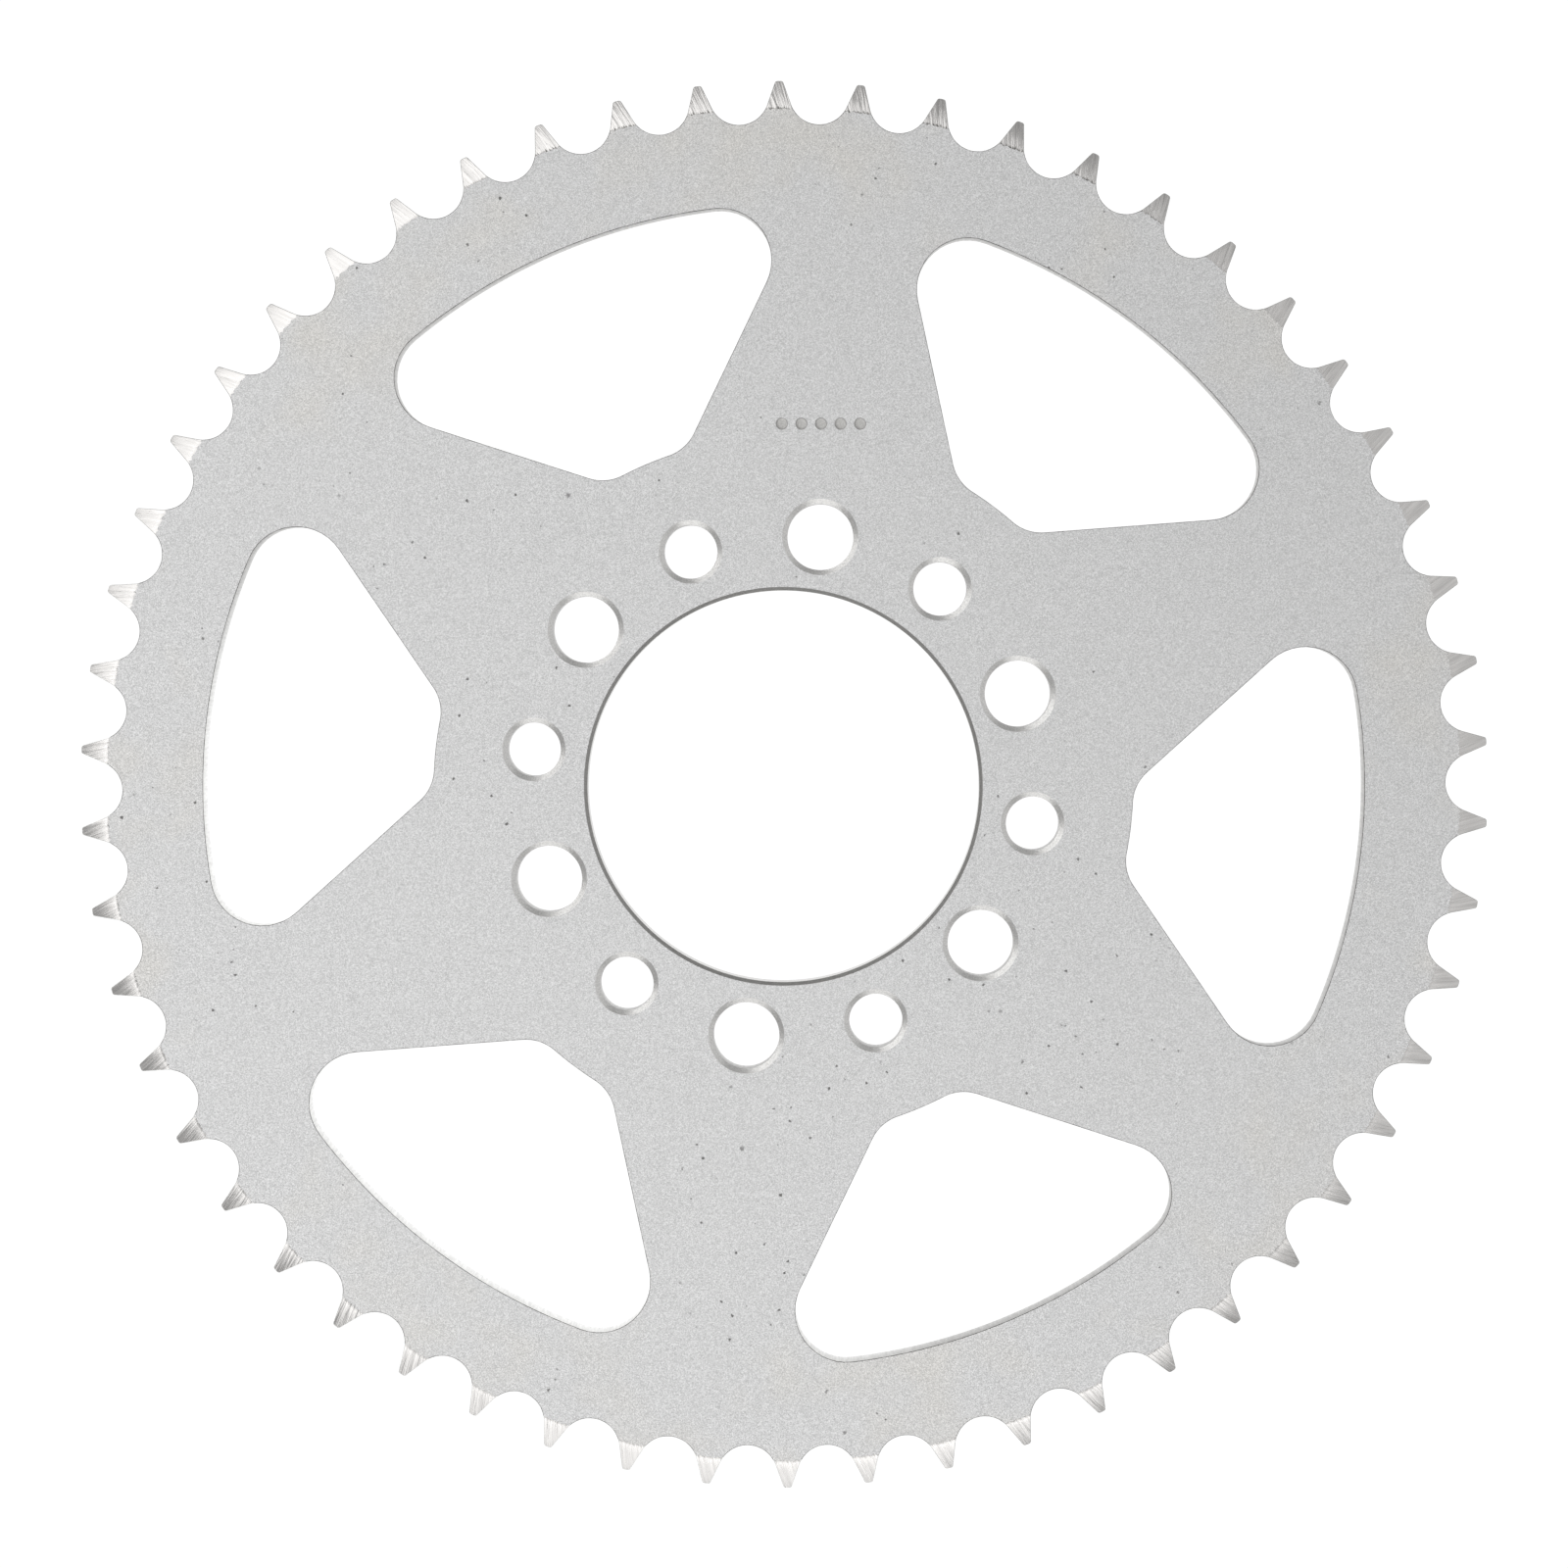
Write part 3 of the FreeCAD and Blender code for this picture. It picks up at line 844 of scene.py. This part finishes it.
@dataclass(frozen=True)
class GroundRelief(Finish):
    """Steel ground back with a coarse wheel across the teeth: bright and warm, with slanting scratches.

    The mesh already bends the bevel, and the shading turns it a little more at each end. A jagged dark line
    of painted shade runs along the start, on two sides of the plate.
    """

    name: str = "steel_ground_relief"
    colour: str = "#E0DEDC"
    roughness: float = 0.27
    sheen: Range = (0.21, 0.35)
    start_mm: float = 107.12
    length_mm: float = 4.7
    scratch_mm: float = 0.22
    scratch_depth_mm: float = 0.10
    scratch_span: Range = (0.35, 0.65)
    scratch_tone: Range = (0.86, 1.08)
    groove_mm: float = 0.528
    groove_share: float = 0.5
    stretch: float = 0.07
    slant: float = 17.0
    crown_turn: float = 3.5
    # Painted shade along the start of the relief: its colour, jag, fade, turn and strength on far and near
    # sides.
    shadow: str = "#7C7A77"
    jag_mm: float = 0.3
    jag_reach_mm: Range = (0.1, 0.75)
    fade_mm: float = 0.25
    start_shade_turn: float = 7.0
    far_span: Range = (0.78, 0.93)
    far_share: float = 0.9
    near_span: Range = (-0.95, -0.6)
    near_share: float = 0.4

    def pattern(self, on: Surface) -> None:
        """Lay slanting scratches and a line of painted shade along the start on a crowned bevel.

        Args:
            on: the surface.
        """
        parts = on.add(SPLIT_XYZ, [on.place]).outputs
        flat = on.add(JOIN_XYZ, [parts["X"], parts["Y"]])
        radius = on.add(VECTOR_MATH, [flat], operation="LENGTH")
        reach = on.add(MATH, [radius, self.start_mm * MM], operation="SUBTRACT")
        angle = on.add(MATH, [parts["Y"], parts["X"]], operation="ARCTAN2")
        arc = on.add(MATH, [angle, self.start_mm * MM], operation="MULTIPLY")
        slope = -math.tan(math.radians(self.slant))
        across = on.add(MATH, [reach, slope, arc], operation="MULTIPLY_ADD")
        along = on.add(MATH, [reach, self.stretch], operation="MULTIPLY")
        lines = on.add(JOIN_XYZ, [across, along])
        scratch = on.add(NOISE, {"Vector": lines, "Scale": per_metre(self.scratch_mm), "Detail": 2.0})
        groove = on.add(NOISE, {"Vector": lines, "Scale": per_metre(self.groove_mm), "Detail": 0.0})
        fine = on.add(MATH, [scratch, 1 - self.groove_share], operation="MULTIPLY")
        both = on.add(MATH, [groove, self.groove_share, fine], operation="MULTIPLY_ADD")
        streaks = on.add(RANGE, [both, *self.scratch_span, *self.scratch_tone])
        streaked = self.toned(on, linear(self.colour), streaks)
        # Painted shade: a jagged dark line along the start of the relief.
        start_shade_mask = self.painted_start_shade(on, lines, reach, angle)
        height = self.crowned(on, reach, both)
        on.feed("Base Color", on.add(MIX, {0: start_shade_mask, 6: streaked, 7: linear(self.shadow)}, data_type="RGBA"))
        on.feed("Normal", on.add(BUMP, {
            "Height": height, "Distance": self.scratch_depth_mm * MM, "Strength": 1.0}))
        on.feed("Roughness", on.add(RANGE, [scratch, *SPREAD, *self.sheen]))

    def painted_start_shade(self, on: Surface, lines: Node, reach: Node, angle: Node) -> Node:
        """Painted shade: a dark line along the start, strong on the plate's far side and weak on its near
        side.

        Args:
            on: the surface.
            lines: where a point lies across and along the scratches.
            reach: how far a point is from the start, in metres.
            angle: a point's angle from +X, in radians.

        Returns:
            The node that says how dark the line is, from 0 to 1.
        """
        drift = on.add(NOISE, {"Vector": lines, "Scale": per_metre(self.jag_mm), "Detail": 0.0})
        jag = on.add(RANGE, [drift, *SPREAD, *(size * MM for size in self.jag_reach_mm)])
        left = on.add(MATH, [jag, reach], operation="SUBTRACT")
        line = on.add(MATH, [left, self.fade_mm * MM], operation="DIVIDE", use_clamp=True)
        turned = on.add(MATH, [angle, math.radians(self.start_shade_turn)], operation="SUBTRACT")
        upward = on.add(MATH, [turned], operation="SINE")
        far = on.add(RANGE, [upward, *self.far_span, 0.0, self.far_share])
        near = on.add(RANGE, [upward, *self.near_span, self.near_share, 0.0])
        # How strong the painted shade is on this side of the plate.
        deep = on.add(MATH, [far, near], operation="MAXIMUM")
        return on.add(MATH, [line, deep], operation="MULTIPLY")

    def crowned(self, on: Surface, reach: Node, scratches: Node) -> Node:
        """Add the crown to the height of the scratches.

        Args:
            on: the surface.
            reach: how far a point is from the start, in metres.
            scratches: the scratches' own height.

        Returns:
            The node that gives the height, as a share of the scratches' depth.
        """
        rounding = math.tan(math.radians(self.crown_turn)) / (self.length_mm * self.scratch_depth_mm)
        from_middle = on.add(MATH, [reach, self.length_mm / 2 * MM], operation="SUBTRACT")
        off = on.add(MATH, [from_middle, MM], operation="DIVIDE")
        square = on.add(MATH, [off, off], operation="MULTIPLY")
        return on.add(MATH, [square, -rounding, scratches], operation="MULTIPLY_ADD")


@dataclass(frozen=True)
class CutWall(Finish):
    """Steel cut through by a beam and plated: fine upright ridges that catch the light in dashes.

    Painted light brightens the wall low down, and painted shade darkens it on one side of the plate.
    """

    name: str = "steel_cut_wall"
    colour: str = "#E9E9E7"
    roughness: float = 0.4
    # Painted light: the wall's colour at the back face, where the glowing table lights it from below.
    bright: str = "#FDFDFC"
    front_mm: float = 7.2
    # Painted shade: the colour the wall darkens to on one side of the plate, and where and how strongly.
    wall_shade: str = "#A3A2A0"
    wall_shade_turn: float = 50.0
    wall_shade_band_mm: Range = (-64.0, -40.0)
    wall_shade_share: Range = (0.6, 1.0)
    ridge_mm: float = 0.4
    ridge_stretch: float = 0.06
    ridge_tone: Range = (0.86, 1.08)
    ridge_depth_mm: float = 0.03
    ridge_strength: float = 0.6

    def pattern(self, on: Surface) -> None:
        """Lay ridges that hardly change through the thickness over the wall's tones of painted light and
        shade.

        Args:
            on: the surface.
        """
        flattened = on.add("ShaderNodeMapping", {"Vector": on.place, "Scale": (1.0, 1.0, self.ridge_stretch)})
        ridges = on.add(NOISE, {"Vector": flattened, "Scale": per_metre(self.ridge_mm), "Detail": 1.0})
        # Painted shade on one side of the plate, stronger towards the front face.
        side = on.add(VECTOR_MATH, [on.place, polar(1.0, self.wall_shade_turn)], operation="DOT_PRODUCT")
        sideways = on.add(RANGE, [side, *(size * MM for size in self.wall_shade_band_mm)])
        height = on.add(MATH, [on.add(SPLIT_XYZ, [on.place]).outputs["Z"], self.front_mm * MM],
                        operation="DIVIDE")
        upwards = on.add(RANGE, [height, 0.0, 1.0, *self.wall_shade_share])
        wall_shade_mask = on.add(MATH, [sideways, upwards], operation="MULTIPLY")
        # Painted light from the table below: the wall gets lighter towards the back face.
        with_table_light = on.add(MIX, {0: height, 6: linear(self.bright), 7: linear(self.colour)}, data_type="RGBA")
        with_wall_shade = on.add(MIX, {0: wall_shade_mask, 6: with_table_light, 7: linear(self.wall_shade)}, data_type="RGBA")
        dashes = on.add(RANGE, [ridges, *SPREAD, *self.ridge_tone])
        on.feed("Base Color", self.toned(on, with_wall_shade, dashes))
        on.feed("Normal", on.add(BUMP, {
            "Height": ridges, "Distance": self.ridge_depth_mm * MM, "Strength": self.ridge_strength}))


@dataclass(frozen=True)
class BrokenEdge(Finish):
    """The cut edge, broken by tumbling: a hairline darkened by painted shade, with dashes of painted
    highlight.
    """

    name: str = "steel_broken_edge"
    # Painted shade: the hairline's dark colour.
    colour: str = "#383633"
    roughness: float = 0.42
    # Painted highlight: bright dashes along the edge, with their colour, size, spread and share.
    painted_glint: str = "#B9B8B6"
    painted_glint_mm: float = 1.1
    painted_glint_span: Range = (0.48, 0.66)
    nick_and_glint_share: float = 0.8

    def pattern(self, on: Surface) -> None:
        """Lay dashes of painted highlight along the hairline of painted shade.

        Args:
            on: the surface.
        """
        drift = on.add(NOISE, {"Vector": on.place, "Scale": per_metre(self.painted_glint_mm), "Detail": 2.0})
        # Painted highlight in dashes along the hairline.
        glint_mask = on.add(RANGE, [drift, *self.painted_glint_span, 0.0, self.nick_and_glint_share])
        on.feed("Base Color", on.add(MIX, {0: glint_mask, 6: linear(self.colour), 7: linear(self.painted_glint)},
                                     data_type="RGBA"))


@dataclass(frozen=True)
class MachinedSteel(Finish):
    """Steel left by a turning, boring or stamping tool: smooth and bright, with small uneven glints."""

    glint_mm: float = 0.22
    glint_tone: Range = (0.84, 1.1)
    glint_depth_mm: float = 0.04
    glint_strength: float = 0.8

    def pattern(self, on: Surface) -> None:
        """Lay small uneven glints where the tool chattered.

        Args:
            on: the surface.
        """
        glint = on.add(NOISE, {"Vector": on.place, "Scale": per_metre(self.glint_mm), "Detail": 1.0})
        tone = on.add(RANGE, [glint, *SPREAD, *self.glint_tone])
        on.feed("Base Color", self.toned(on, linear(self.colour), tone))
        on.feed("Normal", on.add(BUMP, {
            "Height": glint, "Distance": self.glint_depth_mm * MM, "Strength": self.glint_strength}))


def make_finishes() -> Finishes:
    """Make the material of each zone.

    Returns:
        The materials, by zone.
    """
    finishes = {
        Zone.FACE: BlastedZincFace(),
        Zone.RELIEF: GroundRelief(),
        Zone.WALL: CutWall(),
        Zone.EDGE: BrokenEdge(),
        Zone.CHAMFER: MachinedSteel(name="steel_countersunk", colour="#E6E5E3", roughness=0.32),
        Zone.BORE: MachinedSteel(name="steel_bored", colour="#D4D3D1", roughness=0.34),
        Zone.BORE_EDGE: MachinedSteel(name="steel_turned_edge", colour="#A3A2A0", roughness=0.34),
        Zone.MARK: MachinedSteel(name="steel_stamped", colour="#B0AFAD", roughness=0.5),
    }
    return {zone: finish.material() for zone, finish in finishes.items()}


# ---- the plate


@dataclass(frozen=True)
class Plate:
    """The whole sprocket plate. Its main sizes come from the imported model's box and mounts.

    The other sizes are in millimetres and degrees.
    """

    edge_break: float = 0.08
    hub_land: float = 15.5
    rim_width: float = 12.8
    countersink_width: float = 0.8
    countersink_angle: float = 120.0
    bore_chamfer: float = 0.55
    bore_chamfer_angle: float = 90.0
    bore_steps: int = 192
    small_hole_steps: int = 56
    large_hole_steps: int = 64

    @property
    def thickness(self) -> float:
        """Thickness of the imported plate, in millimetres."""
        low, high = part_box(CAD_NODE)
        return (high.z - low.z) / MM

    @staticmethod
    def mount(name: str) -> dict[str, float]:
        """The dimensions of one of the record's mounts."""
        return next(mount["dims"] for mount in frame["record"]["mounts"] if mount["name"] == name)

    def bolt_ring(self, name: str, phase: float, steps: int) -> RoundHoles:
        """One ring of bolt holes from its mount.

        Args:
            name: the mount's name.
            phase: degrees from +X to the first hole.
            steps: points round each hole.

        Returns:
            The ring, ready to build.
        """
        dims = self.mount(name)
        return RoundHoles(self.thickness, dims["hole_r_mm"], self.countersink_width, self.countersink_angle,
                          steps, Zone.WALL, Zone.CHAMFER, dims["pcd_mm"] / 2, int(dims["count"]), phase)

    def strips(self, finishes: Finishes) -> list[bpy.types.Mesh]:
        """Build every sub-assembly's open strips of surface.

        Args:
            finishes: the material of each zone.

        Returns:
            One mesh for each sub-assembly, in millimetres.
        """
        thickness = self.thickness
        teeth = ToothRing(thickness, self.edge_break)
        small = self.bolt_ring("small_bolt_holes", 0.0, self.small_hole_steps)
        large = self.bolt_ring("large_bolt_holes", 180 / small.count, self.large_hole_steps)
        windows = Windows(thickness, self.edge_break, small.offset + self.hub_land,
                          teeth.root - self.rim_width)
        bore = RoundHoles(thickness, self.mount("bore")["r_mm"], self.bore_chamfer, self.bore_chamfer_angle,
                          self.bore_steps, Zone.BORE, Zone.BORE_EDGE)
        made = []
        for name, part in (("teeth", teeth), ("windows", windows), ("small bolt holes", small),
                           ("large bolt holes", large), ("bore", bore),
                           ("mark", BatchMark(thickness, windows))):
            made.append(part.build(finishes))
            log.info("%s: %d faces", name, len(made[-1].polygons))
        return made

    def build(self, finishes: Finishes) -> bpy.types.Object:
        """Join the strips and fill the two flat faces.

        Args:
            finishes: the material of each zone.

        Returns:
            The finished plate, in metres.

        Raises:
            ValueError: if the skin doesn't close.
        """
        skin = bmesh.new()
        for strip in self.strips(finishes):
            zone_of = {number: next(zone for zone in Zone if finishes[zone] == material)
                       for number, material in enumerate(strip.materials)}
            before = len(skin.faces)
            skin.from_mesh(strip)
            skin.faces.ensure_lookup_table()
            for face in skin.faces[before:]:
                face.material_index = zone_of[face.material_index].value
            bpy.data.meshes.remove(strip)
        bmesh.ops.remove_doubles(skin, verts=skin.verts, dist=WELD_GAP)
        for height in (0.0, self.thickness):
            self.fill(skin, height)
        loose = [edge for edge in skin.edges if not edge.is_manifold]
        if loose:
            raise ValueError(f"the plate's skin is open at {len(loose)} edges")
        bmesh.ops.recalc_face_normals(skin, faces=skin.faces)
        for edge in skin.edges:
            one, other = edge.link_faces
            gentle = edge.calc_face_angle() < math.radians(SMOOTH_TURN)
            edge.smooth = gentle and one.material_index == other.material_index
        for face in skin.faces:
            face.smooth = True
        bmesh.ops.scale(skin, vec=(MM, MM, MM), verts=skin.verts)
        mesh = bpy.data.meshes.new("sprocket")
        skin.to_mesh(mesh)
        skin.free()
        for zone in Zone:
            mesh.materials.append(finishes[zone])
        return in_scene("sprocket", mesh)

    @staticmethod
    def fill(skin: bmesh.types.BMesh, height: float) -> None:
        """Fill one flat face between the open borders of the strips.

        Args:
            skin: the joined strips.
            height: the face's height.
        """
        border = [edge for edge in skin.edges
                  if edge.is_boundary and all(abs(vert.co.z - height) < WELD_GAP for vert in edge.verts)]
        bmesh.ops.triangle_fill(skin, use_beauty=True, use_dissolve=False, edges=border,
                                normal=Vector((0, 0, 1)))


# ---- studio


@dataclass(frozen=True)
class SoftBox:
    """A soft panel light that looks at the plate from one side.

    The azimuth runs counter-clockwise from the right of the picture. Angles are in degrees and lengths in
    metres, and a radiance of 1 is white paper in full light.
    """

    name: str
    azimuth: float
    elevation: float
    width: float
    height: float
    radiance: float
    distance: float = 1.6

    def build(self, turn: float) -> bpy.types.Object:
        """Make the light.

        Args:
            turn: degrees between the picture's right and +X, added to the azimuth.

        Returns:
            The light, linked to the scene.
        """
        data = bpy.data.lights.new(self.name, "AREA")
        data.shape = "RECTANGLE"
        data.size, data.size_y = self.width, self.height
        data.energy = self.radiance * math.pi * self.width * self.height
        made = in_scene(self.name, data)
        around, up = math.radians(self.azimuth + turn), math.radians(self.elevation)
        away = Vector((math.cos(around) * math.cos(up), math.sin(around) * math.cos(up), math.sin(up)))
        made.location = away * self.distance
        made.rotation_mode = "QUATERNION"
        made.rotation_quaternion = away.to_track_quat("Z", "Y")
        made.visible_camera = False
        return made


@dataclass(frozen=True)
class Studio:
    """The pale light table under the plate, the soft panels round it and the camera above it.

    Lengths are in metres unless they say millimetres, and angles are in degrees.
    """

    plate_top: float
    distance: float = 1.0
    lens_mm: float = 144.7
    sensor_mm: float = 36.0
    turn: float = 8.43
    lean_x: float = 1.353
    lean_y: float = -0.518
    aside: float = 0.000115
    above: float = 0.000391
    table_size: float = 6.0
    table_gap: float = 0.0001
    table_glow: float = 1.03
    table_colour: str = "#101010"
    table_roughness: float = 0.9
    clip: Range = (0.05, 20.0)
    surround: float = 0.36
    boxes: tuple[SoftBox, ...] = (SoftBox("ceiling", 241.0, 79.0, 1.48, 1.00, 1.24),
                                  SoftBox("key_left", 139.0, 51.0, 1.80, 1.50, 1.00),
                                  SoftBox("key_near", 263.0, 48.0, 1.46, 1.57, 0.85),
                                  SoftBox("fill_right", 3.0, 40.0, 2.47, 1.80, 0.29))

    def camera(self) -> None:
        """Set the camera almost straight above the front face, with the plate turned in the picture."""
        seen = (Matrix.Rotation(math.radians(self.lean_x), 3, "X")
                @ Matrix.Rotation(math.radians(self.lean_y), 3, "Y")
                @ Matrix.Rotation(math.radians(-self.turn), 3, "Z"))
        back = seen.transposed()
        data = bpy.data.cameras.new("camera")
        data.lens, data.sensor_width = self.lens_mm, self.sensor_mm
        data.clip_start, data.clip_end = self.clip
        made = in_scene("camera", data)
        spot = Vector((0, 0, self.plate_top)) + back @ Vector((self.aside, self.above, self.distance))
        made.matrix_world = Matrix.Translation(spot) @ back.to_4x4()
        bpy.context.scene.camera = made

    def table(self) -> bpy.types.Object:
        """Make the glowing opal table that the plate lies on.

        Returns:
            The table, linked to the scene.
        """
        half = self.table_size / 2
        mesh = bpy.data.meshes.new("table")
        corners = [(-half, -half), (half, -half), (half, half), (-half, half)]
        mesh.from_pydata([(x, y, -self.table_gap) for x, y in corners], [], [(0, 1, 2, 3)])
        opal = bpy.data.materials.new("opal_acrylic_lit")
        opal.use_nodes = True
        shader = opal.node_tree.nodes["Principled BSDF"]
        shader.inputs["Base Color"].default_value = linear(self.table_colour)
        shader.inputs["Roughness"].default_value = self.table_roughness
        shader.inputs["Emission Color"].default_value = linear("#FFFFFF")
        shader.inputs["Emission Strength"].default_value = self.table_glow
        mesh.materials.append(opal)
        return in_scene("table", mesh)

    def world(self) -> None:
        """Surround the table with an even pale grey."""
        scene = bpy.context.scene
        scene.world = bpy.data.worlds.new("studio")
        scene.world.use_nodes = True
        nodes = Nodes(scene.world.node_tree)
        nodes.tree.nodes.clear()
        back = nodes.add("ShaderNodeBackground", {"Color": linear("#FFFFFF"), "Strength": self.surround})
        nodes.add("ShaderNodeOutputWorld", {"Surface": back})
        scene.view_settings.view_transform = "Standard"

    def build(self) -> None:
        """Set up the whole studio: camera, surround, table and lights."""
        self.camera()
        self.world()
        self.table()
        for box in self.boxes:
            box.build(self.turn)


def main() -> None:
    """Build the sprocket and its studio, in order, and log each piece."""
    finishes = make_finishes()
    plate = Plate()
    sprocket = plate.build(finishes)
    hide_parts(CAD_NODE)
    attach(sprocket, "root")
    log.info("sprocket: %d faces, %d triangles", len(sprocket.data.polygons),
             sum(len(face.vertices) - 2 for face in sprocket.data.polygons))
    Studio(plate_top=plate.thickness * MM).build()


if __name__ == "__main__":
    main()
